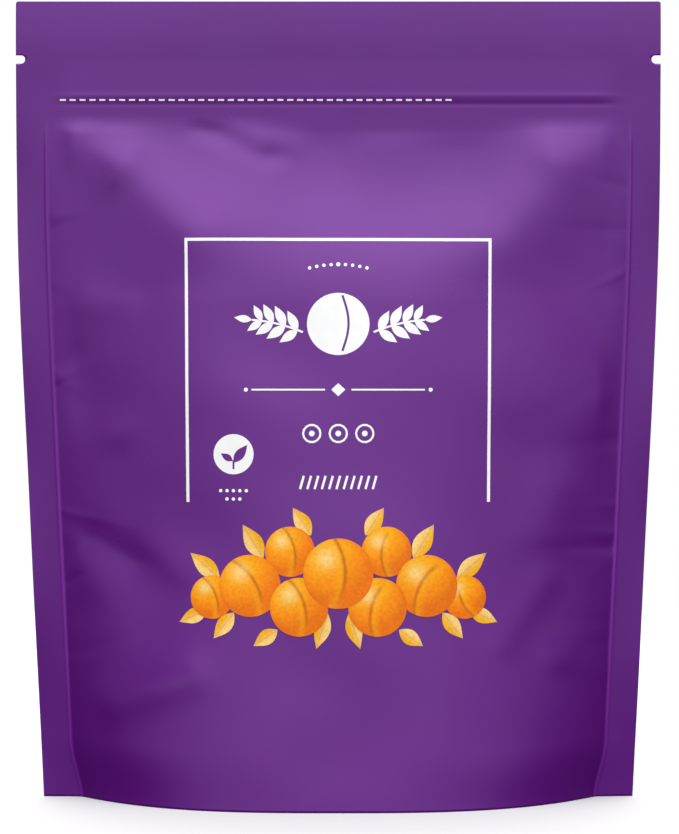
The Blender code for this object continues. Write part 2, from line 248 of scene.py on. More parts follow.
def zip_relief(z):
    """How far each wall stands out over the zip."""
    off = z - ZIP_LINE
    swell = ZIP_SWELL * (1.0 - over(off, ZIP_SWELL_SPAN))
    lip = ZIP_LIP * bump(off - ZIP_LIP_HEIGHT, ZIP_LIP_WIDTH)
    groove = ZIP_RETURN * (1.0 - over(off, ZIP_RETURN_SPAN)) - ZIP_STEP * (1.0 - over(off, ZIP_STEP_SPAN))
    return (swell + lip + groove) * over(off, ZIP_FADE)


def fold_relief(folds, x, z):
    """Sum of the folds: ridges, or dents where their height is negative."""
    total = np.zeros(np.broadcast(x, z).shape)
    for x0, z0, x1, z1, width, height, sharp in folds:
        ax, az, bx, bz, w = (v * MM for v in (x0, z0, x1, z1, width))
        length2 = (bx - ax) ** 2 + (bz - az) ** 2
        t = np.clip(((x - ax) * (bx - ax) + (z - az) * (bz - az)) / length2, 0.0, 1.0)
        away = np.hypot(x - ax - t * (bx - ax), z - az - t * (bz - az)) / w
        crest = np.exp(-(np.hypot(away, CREST_ROUND) - CREST_ROUND) * CREST_FALL)
        total += height * MM * ((1.0 - sharp) * np.exp(-(away**2)) + sharp * crest)
    return total


def puckers(x, z, side):
    """Short wrinkles that run in from the side seals."""
    draw = np.random.default_rng(PUCKER_SEED + (side > 0))
    total = np.zeros(np.broadcast(x, z).shape)
    for edge in EDGES:
        for _ in range(PUCKER_COUNT):
            place = draw.uniform(*PUCKER_PLACES)
            width = draw.uniform(*PUCKER_WIDTHS)
            length = draw.uniform(*PUCKER_LENGTHS)
            height = draw.choice((-1, 1)) * draw.uniform(*PUCKER_HEIGHTS)
            slope = draw.uniform(*PUCKER_SLOPES)
            inward = half_chord(z) - edge * x
            across = (z - place - slope * inward) / width
            total += height * np.exp(-(across**2) - (inward / length) ** 2)
    return total


def waves(x, z, side):
    """Slow unevenness of the whole film, in and out."""
    draw = np.random.default_rng(WAVE_SEED + (side > 0))
    total = np.zeros(np.broadcast(x, z).shape)
    for _ in range(WAVE_COUNT):
        length = draw.uniform(*WAVE_LENGTHS)
        angle = draw.uniform(0, math.pi)
        phase = draw.uniform(0, math.tau)
        height = WAVE_HEIGHT * (length / WAVE_LENGTH) ** WAVE_GROWTH
        along = x * math.cos(angle) + z * math.sin(angle)
        total += height * np.sin(math.tau * along / length + phase)
    return total


def faded(relief, belly, z, side, foot, top):
    """Relief that dies out towards the side seals, the foot and the zip."""
    return relief * smooth((1.0 - belly) / side) * smooth(z / foot) * (1.0 - over(z, top))


def crease(share, z):
    """From 0 to 1: how near a point is to the fins' inner edges, where the seals end in a fine ridge."""
    away = (abs(share) - 1.0) * np.where(abs(share) < 1.0, half_chord(z), seal_width(z))
    return bump(away, CREASE_WIDTH) * (1.0 - over(z, CREASE_FADE))


def wall_surface(side, share, z, inset=0.0):
    """Points of a wall's middle surface. A share is 1 at the seals' inner edges and 2 at their outer ones."""
    share, z = np.broadcast_arrays(np.asarray(share, float), np.asarray(z, float))
    belly = np.minimum(abs(share), 1.0)
    out = np.maximum(0.0, abs(share) - 1.0)
    above = np.maximum(0.0, z - (HEIGHT - TOP_CORNER))
    corner = TOP_CORNER - np.sqrt(np.maximum(0.0, TOP_CORNER**2 - above**2))
    x = np.copysign(belly * half_chord(z) + out * (seal_width(z) - corner), share)
    folds = FRONT_FOLDS if side == FRONT else BACK_FOLDS
    y = WALL_OFFSET - inset + belly_point(share, z)
    y = y + faded(fold_relief(folds, x, z), belly, z, **FOLD_FADE)
    y = y + faded(puckers(x, z, side), belly, z, **PUCKER_FADE)
    y = y + faded(waves(x, z, side), belly, z, **WAVE_FADE)
    y = y + zip_relief(z) * smooth((1.0 - belly) / ZIP_END)
    y = y + CREASE_HEIGHT * crease(share, z)
    sway = FIN_SWEEP + FIN_SWAY * np.sin(z * FIN_SWAY_RATE + (share > 0) * FIN_SWAY_SHIFT)
    both = header_lean(z) + out * sway * (1.0 - over(z, FIN_FADE))
    return np.stack([x, side * y + both, z], axis=-1)


def wall_frame(side, x, z, step=0.0002):
    """The point and the outward normal of a wall where it passes x and z, from points a step away."""
    x, z = np.broadcast_arrays(np.asarray(x, float), np.asarray(z, float))

    def at(dx, dz):
        return wall_surface(side, (x + dx) / half_chord(z + dz), z + dz)

    point = at(0, 0)
    normal = np.cross(at(step, 0) - at(-step, 0), at(0, step) - at(0, -step))
    normal /= np.linalg.norm(normal, axis=-1, keepdims=True)
    return point, normal * np.sign(normal[..., 1:2] * side)


# Materials

FILM_ROUGHNESS = 0.30
FILM_IOR = 1.50
FILM_METALLIC = 0.2  # the film's foil layer under the purple
FILM_DARK = (0.109, 0.0024, 0.210, 1.0)
FILM_LIGHT = (0.116, 0.0027, 0.224, 1.0)
CREASE_HIGHLIGHT_COLOUR = (0.200, 0.020, 0.340, 1.0)  # painted highlight along the seals' inner edges
PURPLE_INK = (0.113, 0.0025, 0.218, 1.0)
WHITE_INK = (0.97, 0.97, 0.98, 1.0)
PAINT_ROUGHNESS = 0.5
PAINT_IOR = 1.25
ROUGHNESS_SPREAD = 0.03
INK_SHADE = 0.96  # the darkest grain of an ink against its colour
FLESH_DARK = (0.62, 0.16, 0.010, 1.0)
FLESH = (0.80, 0.27, 0.015, 1.0)
FLESH_LIGHT = (0.88, 0.42, 0.05, 1.0)
ZIP_DARK = (0.72, 0.72, 0.76, 1.0)
ZIP_LIGHT = (0.84, 0.84, 0.86, 1.0)
MIX_INPUTS = (0, 6, 7)  # a colour mix's factor and its two colours
MIX_OUTPUT = 2


def grey(value):
    return (value, value, value, 1.0)


class Nodes:
    """A short way to add and link the nodes of a material or a world."""

    def __init__(self, owner):
        owner.use_nodes = True
        self.tree = owner.node_tree
        self.shader = self.tree.nodes.get("Principled BSDF")

    def set(self, node, name, value):
        socket = node.inputs[name]
        if isinstance(value, bpy.types.NodeSocket):
            self.tree.links.new(value, socket)
        else:
            socket.default_value = value

    def surface(self, name, value):
        self.set(self.shader, name, value)

    def add(self, kind, inputs=None, **settings):
        node = self.tree.nodes.new(kind)
        for name, value in settings.items():
            setattr(node, name, value)
        for name, value in (inputs or {}).items():
            self.set(node, name, value)
        return node

    def place(self):
        return self.add("ShaderNodeNewGeometry").outputs["Position"]

    def noise(self, place, scale, detail, distortion=0.0):
        inputs = {"Vector": place, "Scale": scale, "Detail": detail, "Distortion": distortion}
        return self.add("ShaderNodeTexNoise", inputs).outputs["Fac"]

    def relief(self, height, strength, distance):
        inputs = {"Height": height, "Strength": strength, "Distance": distance}
        self.surface("Normal", self.add("ShaderNodeBump", inputs).outputs["Normal"])

    def ramp(self, factor, stops):
        node = self.add("ShaderNodeValToRGB", {"Fac": factor})
        while len(node.color_ramp.elements) < len(stops):
            node.color_ramp.elements.new(0.5)
        for element, (position, colour) in zip(node.color_ramp.elements, stops):
            element.position, element.color = position, colour
        return node.outputs["Color"]

    def mix(self, factor, first, second, blend="MIX"):
        node = self.add("ShaderNodeMix", data_type="RGBA", blend_type=blend)
        for index, value in zip(MIX_INPUTS, (factor, first, second)):
            self.set(node, index, value)
        return node.outputs[MIX_OUTPUT]


def new_material(name):
    made = bpy.data.materials.new(name)
    return made, Nodes(made)


def film_surface(nodes, roughness=FILM_ROUGHNESS, ior=FILM_IOR):
    """The film's gloss: even satin with slow variation and a very fine crinkle."""
    place = nodes.place()
    low, high = grey(roughness - ROUGHNESS_SPREAD), grey(roughness + ROUGHNESS_SPREAD)
    nodes.surface("Roughness", nodes.ramp(nodes.noise(place, 60.0, 3.0), [(0.3, low), (0.7, high)]))
    nodes.relief(nodes.noise(place, 900.0, 2.0), 0.06, 0.0002)
    nodes.surface("IOR", ior)
    return place


def film_material():
    """Purple film. The paint on its mesh says where a highlight is painted along the seals' inner edges."""
    made, nodes = new_material("Purple film")
    place = film_surface(nodes)
    tone = nodes.ramp(nodes.noise(place, 22.0, 2.0), [(0.25, FILM_DARK), (0.75, FILM_LIGHT)])
    # painted highlight along the creases, read from the mesh's paint
    creased = nodes.add("ShaderNodeAttribute", attribute_name="paint").outputs["Fac"]
    nodes.surface("Base Color", nodes.mix(creased, tone, CREASE_HIGHLIGHT_COLOUR))
    nodes.surface("Metallic", FILM_METALLIC)
    return made


def ink_material(name, colour, metallic=0.0):
    """Printed ink on the film: a flat colour with the least unevenness."""
    made, nodes = new_material(name)
    place = film_surface(nodes)
    darker = tuple(c * INK_SHADE for c in colour[:3]) + (1.0,)
    grain = nodes.ramp(nodes.noise(place, 500.0, 2.0), [(0.3, darker), (0.7, colour)])
    nodes.surface("Base Color", grain)
    nodes.surface("Metallic", metallic)
    return made


def painted_material(name):
    """Ink whose colour was painted on the mesh, with a mottle like fruit skin."""
    made, nodes = new_material(name)
    place = film_surface(nodes, PAINT_ROUGHNESS, PAINT_IOR)
    paint = nodes.add("ShaderNodeAttribute", attribute_name="paint").outputs["Color"]
    speck = nodes.ramp(nodes.noise(place, 1300.0, 4.0), [(0.35, grey(0.90)), (0.65, grey(1.06))])
    nodes.surface("Base Color", nodes.mix(1.0, paint, speck, "MULTIPLY"))
    return made


def apricot_material():
    """Dried flesh: wrinkled, a little sticky, and lit through at its thin edges."""
    made, nodes = new_material("Dried apricot flesh")
    place = nodes.place()
    wrinkle = nodes.noise(place, 320.0, 6.0, 1.2)
    tone = nodes.noise(place, 70.0, 3.0)
    nodes.surface("Base Color", nodes.ramp(tone, [(0.3, FLESH_DARK), (0.5, FLESH), (0.72, FLESH_LIGHT)]))
    nodes.surface("Roughness", nodes.ramp(wrinkle, [(0.3, grey(0.5)), (0.7, grey(0.33))]))
    nodes.surface("Subsurface Weight", 0.25)
    nodes.surface("Subsurface Scale", 0.004)
    nodes.relief(wrinkle, 0.6, 0.0008)
    return made


def zip_material():
    made, nodes = new_material("Zip plastic")
    haze = nodes.noise(nodes.place(), 250.0, 3.0)
    nodes.surface("Base Color", nodes.ramp(haze, [(0.3, ZIP_DARK), (0.7, ZIP_LIGHT)]))
    nodes.surface("Roughness", 0.25)
    nodes.surface("Transmission Weight", 0.3)
    return made


# Meshes


def link(name, mesh):
    obj = bpy.data.objects.new(name, mesh)
    bpy.context.scene.collection.objects.link(obj)
    return obj


def mesh_object(name, points, faces, material, paint=None):
    mesh = bpy.data.meshes.new(name)
    mesh.from_pydata([tuple(p) for p in np.asarray(points).reshape(-1, 3)], [], faces)
    mesh.materials.append(material)
    mesh.shade_smooth()
    if paint is not None:
        layer = mesh.color_attributes.new("paint", "FLOAT_COLOR", "POINT")
        layer.data.foreach_set("color", np.asarray(paint, float).ravel())
    return link(name, mesh)


def grid_faces(rows, columns, flip=False):
    faces = []
    for j in range(rows - 1):
        for i in range(columns - 1):
            a = j * columns + i
            quad = (a, a + 1, a + columns + 1, a + columns)
            faces.append(quad[::-1] if flip else quad)
    return faces


def thicken(obj):
    film = obj.modifiers.new("Film", "SOLIDIFY")
    film.thickness = FILM
    film.offset = 0.0


def baked(obj):
    """The object with its modifiers applied."""
    graph = bpy.context.evaluated_depsgraph_get()
    mesh = bpy.data.meshes.new_from_object(obj.evaluated_get(graph))
    obj.modifiers.clear()
    obj.data = mesh
    return obj


def crowded_columns(count):
    """Shares from -1 to 1, closer together towards both ends."""
    turn = COLUMN_CROWDING * math.pi / 2
    return np.sin(np.linspace(-turn, turn, count)) / math.sin(turn)


def wall_columns(across):
    """Shares over the belly and both fins, closest at the seals' inner edges."""
    belly = crowded_columns(across)
    belly = belly[abs(belly) < BELLY_REACH]
    outer = np.array(SEAM_COLUMNS + FIN_COLUMNS)
    return np.sort(np.concatenate([belly, outer, -outer]))


def wall_rows(up):
    """Heights of a wall's rows, closest over the zip and at the top corners."""
    belly = np.linspace(0.0, BELLY_ROWS_TOP, up)
    header = np.linspace(HEADER_ROWS_FOOT, HEIGHT - TOP_CORNER, HEADER_ROWS)
    corner = HEIGHT - TOP_CORNER * np.array(CORNER_ROWS)
    return np.unique(np.concatenate([belly, np.arange(*ZIP_ROWS), header, corner]))


def notch_cutter(side, steps=17, overhang=0.002, half_depth=0.006):
    """A slot with a round end that opens through the outer edge and passes both walls."""
    bm = bmesh.new()
    edge = FLAT_WIDTH / 2
    centre = edge - NOTCH_DEPTH + NOTCH_RADIUS
    angles = np.linspace(math.pi / 2, 3 * math.pi / 2, steps)
    outline = [(centre + NOTCH_RADIUS * math.cos(a), NOTCH_RADIUS * math.sin(a)) for a in angles]
    outline += [(edge + overhang, -NOTCH_RADIUS), (edge + overhang, NOTCH_RADIUS)]
    corners = [bm.verts.new((side * x, -half_depth, NOTCH_HEIGHT + z)) for x, z in outline]
    pulled = bmesh.ops.extrude_face_region(bm, geom=[bm.faces.new(corners)])["geom"]
    moved = [item for item in pulled if isinstance(item, bmesh.types.BMVert)]
    bmesh.ops.translate(bm, verts=moved, vec=(0, 2 * half_depth, 0))
    bmesh.ops.recalc_face_normals(bm, faces=bm.faces)
    mesh = bpy.data.meshes.new("notch")
    bm.to_mesh(mesh)
    return link("notch", mesh)


def wall(name, side, grid, material):
    across, up = grid
    columns, rows = wall_columns(across), wall_rows(up)
    share, z = columns[None, :], rows[:, None]
    # painted highlight along the seals' inner edges, weaker higher up
    crease_highlight = crease(share, z) * (1.0 - (1.0 - CREASE_UPPER_HIGHLIGHT) * over(z, CREASE_HIGHLIGHT_SPAN))
    paint = np.repeat(crease_highlight.reshape(-1, 1), 4, axis=1)
    faces = grid_faces(len(rows), len(columns), flip=side == BACK)
    obj = mesh_object(name, wall_surface(side, share, z), faces, material, paint)
    thicken(obj)
    cutters = [notch_cutter(edge) for edge in EDGES]
    for cutter in cutters:
        cut = obj.modifiers.new("Notch", "BOOLEAN")
        cut.operation, cut.object = "DIFFERENCE", cutter
    baked(obj)
    for cutter in cutters:
        bpy.data.objects.remove(cutter)
    return obj


def gusset(material):
    """The folded insert. A row is 0 in the middle, 1 where floor and skirt meet and 2 at the bottom edge."""
    columns = crowded_columns(GUSSET_COLUMNS) * GUSSET_REACH
    floor_rows = np.linspace(0, FLOOR_EDGE, FLOOR_ROWS)
    rim_rows = np.linspace(FLOOR_EDGE, 1, RIM_ROWS)[1:]
    half = np.concatenate([floor_rows, rim_rows, SKIRT_ROWS])
    rows = np.concatenate([-half[:0:-1], half])
    share, row = np.meshgrid(columns, rows)
    skirt = GUSSET_SKIRT + (GUSSET_RISE - GUSSET_SKIRT) * abs(share) ** GUSSET_SKIRT_POWER
    climb = np.maximum(0.0, (abs(share) - FLOOR_FLAT) / (1.0 - FLOOR_FLAT))
    floor = FILM / 2 + (GUSSET_RISE - FILM / 2) * climb**FLOOR_RISE_POWER
    height = np.where(abs(row) >= 1.0, (2.0 - abs(row)) * skirt, skirt)
    front, back = (wall_surface(side, share, height, GUSSET_INSET) for side in (FRONT, BACK))
    rim = np.where((row < 0)[..., None], front, back)
    inward = np.minimum(abs(row), 1.0)
    drop = over(inward, (FLOOR_EDGE, 1.0))
    z = np.where(abs(row) >= 1.0, height, floor + (skirt - floor) * drop)
    points = np.stack([rim[..., 0], rim[..., 1] * inward, z], axis=-1)
    obj = mesh_object("gusset_film", points, grid_faces(len(rows), len(columns), flip=True), material)
    thicken(obj)
    return baked(obj)


def pressed_strip(name, material):
    """A zip strip squeezed flat, so that the film lies as low over it as on the real pouch."""
    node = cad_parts[name]
    points = [node.matrix_world @ vertex.co for vertex in node.data.vertices]
    faces = [tuple(face.vertices) for face in node.data.polygons]
    return mesh_object(name + "_pressed", np.array(points) * ZIP_PRESS, faces, material)


# Print: flat shapes in millimetres from the middle of the pouch and up from its base

WHITE_LIFT = 0.05  # thickness of an ink, from the film's face
PURPLE_LIFT = 0.08
LEAF_LIFT, LEAF_LIFT_STEP = 0.04, 0.004
FRUIT_LIFT, FRUIT_LIFT_STEP = 0.10, 0.012

FRAME_TOP, FRAME_FOOT = 137.4, 73.4
FRAME_HALF_TOP, FRAME_HALF_FOOT = 37.2, 36.4
FRAME_LINE = 0.75
STEP = 1.75  # between dots and between short strokes
ARCH_HEIGHT, ARCH_DROP = 131.2, 0.055
DOT, MIDDLE_DOT = 0.42, 0.52
EMBLEM_HEIGHT, EMBLEM_RADIUS = 116.6, 7.6
CLEFT_X, CLEFT_BOW, CLEFT_TOP, CLEFT_DROP, CLEFT_LINE = 1.0, 1.5, 123.6, 13.6, 0.55
STEM_START, STEM_RUN = 8.6, 12.4
STEM_FOOT, STEM_RISE, STEM_SAG = 114.6, 5.2, 2.2
STEM_LINE = 0.5
STEM_LEAVES = ((0.10, 5.4), (0.34, 5.6), (0.58, 5.2), (0.80, 4.4))  # place along the stem, and length
STEM_LEAF_WIDTH = 0.42  # share of its length
STEM_LEAF_TURNS = (62, -34)  # above and under the stem
STEM_TIP = (21.0, 117.6, 4.4, 1.8, 8)  # the last leaf: x, z, length, width and turn
RULE_HEIGHT, RULE_START, RULE_END, RULE_LINE = 100.6, 3.2, 21.0, 0.42
RULE_DOT, RULE_DOT_PLACE = 0.5, 22.4
LOZENGE = ((0, 99.0), (1.7, 100.6), (0, 102.2), (-1.7, 100.6))
RING_HEIGHT, RING_STEP, RING_RADIUS, RING_LINE, RING_DOT = 90.0, 6.4, 2.1, 0.5, 0.7
DASH_HEIGHT, DASH_LEAN, DASH_RISE, DASH_LINE, DASHES = 78.2, 0.45, 1.6, 0.55, 11
ROUNDEL_X, ROUNDEL_HEIGHT, ROUNDEL_RADIUS = -25.3, 85.0, 4.85
ROUNDEL_DOTS = ((5, 76.2), (3, 74.2))  # how many, and at what height
ROUNDEL_DOT_STEP = 1.55
SPRIG_LEAVES = ((0.0, 83.0, 5.4, 2.3, 52), (-0.2, 83.4, 3.4, 1.6, 148))  # aside, z, length, width, turn
SPRIG_TOP, SPRIG_FOOT, SPRIG_LINE = 83.6, 81.4, 0.45
ZIP_DASH_HEIGHT, ZIP_DASH_START, ZIP_DASH_STEP = 172.55, -69.0, 2.45
ZIP_DASH_LENGTH, ZIP_DASH_LINE, ZIP_DASHES = 1.5, 0.42, 40


def on_wall(flat, lift):
    """Places on the front wall for points (x, z), lifted off the film by an ink's thickness."""
    flat = np.asarray(flat, float) * MM
    point, normal = wall_frame(FRONT, flat[:, 0], flat[:, 1])
    return point + normal * (FILM / 2 + lift * MM)


def disc_points(outline, rings):
    """Points of a shape from its middle to its outline, ring by ring."""
    outline = np.asarray(outline, float)
    middle = outline.mean(axis=0)
    steps = np.linspace(0.0, 1.0, rings + 1)[1:]
    return np.concatenate([[middle]] + [middle + (outline - middle) * step for step in steps])


def disc_faces(spokes, rings):
    faces = [(0, 1 + i, 1 + (i + 1) % spokes) for i in range(spokes)]
    for r in range(rings - 1):
        a, b = 1 + r * spokes, 1 + (r + 1) * spokes
        faces += [(a + i, b + i, b + (i + 1) % spokes, a + (i + 1) % spokes) for i in range(spokes)]
    return faces


def circle(x, z, radius, spokes):
    a = np.arange(spokes) * math.tau / spokes
    return np.stack([x + radius * np.cos(a), z + radius * np.sin(a)], axis=1)


def turned(degrees):
    return math.cos(math.radians(degrees)), math.sin(math.radians(degrees))


def leaf(x, z, length, width, turn, spokes=32):
    """A pointed leaf from its stalk at x, z, towards the direction turn in degrees."""
    out = np.linspace(0, 1, spokes // 2, endpoint=False)
    t = np.concatenate([out, 1.0 - out])
    sign = np.repeat((1.0, -1.0), spokes // 2)
    along, across = t * length, sign * width / 2 * np.sin(np.pi * t**0.85) ** 1.1
    c, s = turned(turn)
    return np.stack([x + along * c - across * s, z + along * s + across * c], axis=1)


def mirrored(x, turn, edge):
    """A place and a direction on the right, or their mirror image on the left."""
    return edge * x, turn if edge > 0 else 180 - turn


def spaced(count, step):
    """Places of a centred row."""
    return [(k - (count - 1) / 2) * step for k in range(count)]


class Print:
    """Collects shapes of one ink on the front wall and joins them in one mesh."""

    def __init__(self, name, material, lift):
        self.name, self.material, self.lift = name, material, lift
        self.points, self.faces, self.count = [], [], 0

    def add(self, points, faces):
        self.points.append(np.asarray(points, float))
        self.faces += [tuple(i + self.count for i in face) for face in faces]
        self.count += len(points)

    def shape(self, outline, ring=2.2):
        """A filled outline, in rings about that far apart."""
        rings = max(2, int(np.ptp(outline, axis=0).max() / ring))
        self.add(disc_points(outline, rings), disc_faces(len(outline), rings))

    def stroke(self, path, width, step=0.9):
        """A line of even width along a path of points."""
        path = np.asarray(path, float)
        lengths = np.hypot(*np.diff(path, axis=0).T)
        total = np.concatenate([[0], np.cumsum(lengths)])
        steps = np.linspace(0, total[-1], max(2, int(total[-1] / step) + 1))
        x, z = np.interp(steps, total, path[:, 0]), np.interp(steps, total, path[:, 1])
        dx, dz = np.gradient(x), np.gradient(z)
        norm = np.hypot(dx, dz)
        nx, nz = -dz / norm * width / 2, dx / norm * width / 2
        rows = [np.stack([x + k * nx, z + k * nz], axis=1) for k in (-1, 0, 1)]
        self.add(np.concatenate(rows), grid_faces(3, len(steps)))

    def done(self):
        points = on_wall(np.concatenate(self.points), self.lift)
        return mesh_object(self.name, points, self.faces, self.material)


def print_frame(ink):
    """The thin frame, open at its foot and a little narrower there."""
    corner = FRAME_HALF_TOP + FRAME_LINE / 2
    ink.stroke([(-corner, FRAME_TOP), (corner, FRAME_TOP)], FRAME_LINE)
    for edge in EDGES:
        ink.stroke([(edge * FRAME_HALF_TOP, FRAME_TOP), (edge * FRAME_HALF_FOOT, FRAME_FOOT)], FRAME_LINE)


def print_arch(ink):
    """A little arch of dots, the middle one larger."""
    for k in range(-4, 5):
        radius = DOT if k else MIDDLE_DOT
        ink.shape(circle(k * STEP, ARCH_HEIGHT - ARCH_DROP * k * k, radius, 16))


def stem_point(edge, t):
    """A place along a stem, from 0 at the fruit to 1 at its tip."""
    return edge * (STEM_START + STEM_RUN * t), STEM_FOOT + STEM_RISE * t - STEM_SAG * t * t


def print_emblem(ink, over_ink):
    """A round fruit with its cleft, between two sprays of leaves."""
    ink.shape(circle(0, EMBLEM_HEIGHT, EMBLEM_RADIUS, 64))
    for edge in EDGES:
        ink.stroke([stem_point(edge, t) for t in np.linspace(0, 1, 12)], STEM_LINE)
        for t, size in STEM_LEAVES:
            x, z = stem_point(edge, t)
            for turn in STEM_LEAF_TURNS:
                ink.shape(leaf(x, z, size, size * STEM_LEAF_WIDTH, mirrored(x, turn, edge)[1]))
        x, z, length, width, turn = STEM_TIP
        x, turn = mirrored(x, turn, edge)
        ink.shape(leaf(x, z, length, width, turn))
    steps = np.linspace(0, 1, 30)
    cleft = [(CLEFT_X + CLEFT_BOW * math.sin(t * math.pi), CLEFT_TOP - CLEFT_DROP * t) for t in steps]
    over_ink.stroke(cleft, CLEFT_LINE)


def print_rule(ink):
    """A rule on both sides of a lozenge, with a dot at each end."""
    for edge in EDGES:
        ink.stroke([(edge * RULE_START, RULE_HEIGHT), (edge * RULE_END, RULE_HEIGHT)], RULE_LINE)
        ink.shape(circle(edge * RULE_DOT_PLACE, RULE_HEIGHT, RULE_DOT, 16))
    ink.shape(LOZENGE)


def print_rings(ink):
    """Three rings, and a row of short slanted strokes under them."""
    for x in spaced(3, RING_STEP):
        ring = circle(x, RING_HEIGHT, RING_RADIUS, 48)
        ink.stroke(np.concatenate([ring, ring[:1]]), RING_LINE)
        ink.shape(circle(x, RING_HEIGHT, RING_DOT, 20))
    for x in spaced(DASHES, STEP):
        foot, top = (x - DASH_LEAN, DASH_HEIGHT - DASH_RISE), (x + DASH_LEAN, DASH_HEIGHT + DASH_RISE)
        ink.stroke([foot, top], DASH_LINE)


def print_roundel(ink, over_ink):
    """A white roundel with a sprig in it and two rows of dots under it."""
    ink.shape(circle(ROUNDEL_X, ROUNDEL_HEIGHT, ROUNDEL_RADIUS, 56))
    for count, z in ROUNDEL_DOTS:
        for x in spaced(count, ROUNDEL_DOT_STEP):
            ink.shape(circle(ROUNDEL_X + x, z, DOT, 14))
    for aside, *rest in SPRIG_LEAVES:
        over_ink.shape(leaf(ROUNDEL_X + aside, *rest))
    over_ink.stroke([(ROUNDEL_X, SPRIG_TOP), (ROUNDEL_X, SPRIG_FOOT)], SPRIG_LINE)


def print_zip_line(ink):
    """A dashed line along the zip."""
    for k in range(ZIP_DASHES):
        x = ZIP_DASH_START + k * ZIP_DASH_STEP
        ink.stroke([(x, ZIP_DASH_HEIGHT), (x + ZIP_DASH_LENGTH, ZIP_DASH_HEIGHT)], ZIP_DASH_LINE)


def line_prints(white, purple):
    """The white ornaments, and the purple lines over them."""
    ink = Print("print_white", white, WHITE_LIFT)
    over_ink = Print("print_purple", purple, PURPLE_LIFT)
    print_frame(ink)
    print_arch(ink)
    print_emblem(ink, over_ink)
    print_rule(ink)
    print_rings(ink)
    print_roundel(ink, over_ink)
    print_zip_line(ink)
    return [ink.done(), over_ink.done()]


ORANGE_SHADOW = np.array((0.50, 0.075, 0.002))
ORANGE_DEEP = np.array((0.80, 0.17, 0.002))
ORANGE = np.array((0.97, 0.29, 0.002))
ORANGE_LIGHT = np.array((1.00, 0.47, 0.004))
ORANGE_PALE = np.array((1.00, 0.72, 0.28))
ORANGE_BLUSH = ORANGE_DEEP * 1.15
LEAF_ORANGE = ORANGE_LIGHT * 0.92
PAINTED_LIGHT = (-0.30, 0.55, 0.62)  # how much each way of facing catches the painted light
SHINE_PLACE, SHINE_RADIUS, SHINE = (-0.34, 0.42), 0.26, 0.75
GROOVE_BEND = 0.30
GROOVE_PLACE, GROOVE_WIDTH, GROOVE = 0.20, 0.055, 0.8  # the dark line of a fruit's cleft
CHEEK_PLACE, CHEEK_WIDTH, CHEEK = 0.08, 0.14, 0.35  # the light swell beside it
BLUSH = 0.45  # a deeper orange on the side away from the light
VEIN, VEIN_WIDTH = 0.22, 0.035  # how dark a leaf's middle vein is, and its share of the width
SIDE_VEIN, SIDE_VEIN_WIDTH, SIDE_VEINS, SIDE_VEIN_LEAN = 0.5, 0.12, 7, 5
LEAF_PALENESS = 0.8

# Leaves of the garland on the right: x, z, length, width and direction. The left has their mirror images.
GARLAND_LEAVES = [
    (31.5, 47.5, 7.5, 3.6, -24),
    (28.5, 55.0, 9.5, 4.2, 40),
    (18.0, 60.0, 9.5, 4.4, 58),
    (6.5, 65.5, 8.0, 3.9, 56),
    (25.0, 47.0, 8.0, 3.8, -52),
    (14.5, 43.0, 7.0, 3.6, -34),
    (2.5, 47.0, 9.0, 3.8, -72),
]
# Its fruits: x to both sides, z, radius, and how the left and the right one are turned
GARLAND_FRUITS = [
    (30.4, 50.6, 5.2, 20, -160),
    (11.6, 61.6, 6.0, 10, 175),
    (21.2, 53.4, 7.4, 30, 150),
    (9.4, 48.4, 7.0, 15, 165),
]
MIDDLE_FRUIT = (0.0, 56.4, 8.4, 0)


def blend(colour, other, amount):
    return colour + (other - colour) * amount[:, None]


def painted_fruit(x, z, radius, turn, spokes=72, rings=26):
    """A whole round fruit: shaded to its rim, with a cleft and a soft shine."""
    points = disc_points(circle(x, z, radius, spokes), rings)
    px, pz = (points[:, 0] - x) / radius, (points[:, 1] - z) / radius
    c, s = turned(turn)
    u, v = px * c + pz * s, -px * s + pz * c
    height = np.sqrt(np.maximum(0.0, 1.0 - px**2 - pz**2))
    aside, upwards, ahead = PAINTED_LIGHT
    light = np.clip(aside * px + upwards * pz + ahead * height, 0.0, 1.0)
    bent = u + GROOVE_BEND * v**2
    groove = bump(bent - GROOVE_PLACE, GROOVE_WIDTH) * smooth((v + 0.95) / 0.5)
    cheek = bump(bent - CHEEK_PLACE, CHEEK_WIDTH)
    shine = bump(np.hypot(px - SHINE_PLACE[0], pz - SHINE_PLACE[1]), SHINE_RADIUS)
    blush = smooth((u + 0.9) / 1.6)
    colour = blend(ORANGE_DEEP, ORANGE, smooth(light * 1.7))
    colour = blend(colour, ORANGE_LIGHT, smooth((light - 0.45) * 2.0))
    colour = blend(colour, ORANGE_BLUSH, BLUSH * blush * (1.0 - light))
    creased = blend(colour, ORANGE_SHADOW, GROOVE * groove)
    colour = creased + (ORANGE_LIGHT - colour) * CHEEK * cheek[:, None]
    return points, disc_faces(spokes, rings), blend(colour, ORANGE_PALE, SHINE * shine)


def painted_leaf(x, z, length, width, turn, spokes=48, rings=9):
    """A leaf with its veins, paler towards one side."""
    points = disc_points(leaf(x, z, length, width, turn, spokes), rings)
    c, s = turned(turn)
    u = ((points[:, 0] - x) * c + (points[:, 1] - z) * s) / length
    v = (-(points[:, 0] - x) * s + (points[:, 1] - z) * c) / width
    beside = (u * SIDE_VEINS + abs(v) * SIDE_VEIN_LEAN) % 1.0 - 0.5
    vein = bump(v, VEIN_WIDTH) + SIDE_VEIN * bump(beside, SIDE_VEIN_WIDTH)
    colour = blend(LEAF_ORANGE, ORANGE_PALE, LEAF_PALENESS * smooth(0.5 + v * 1.3))
    return points, disc_faces(spokes, rings), colour * (1.0 - VEIN * np.clip(vein, 0, 1)[:, None])


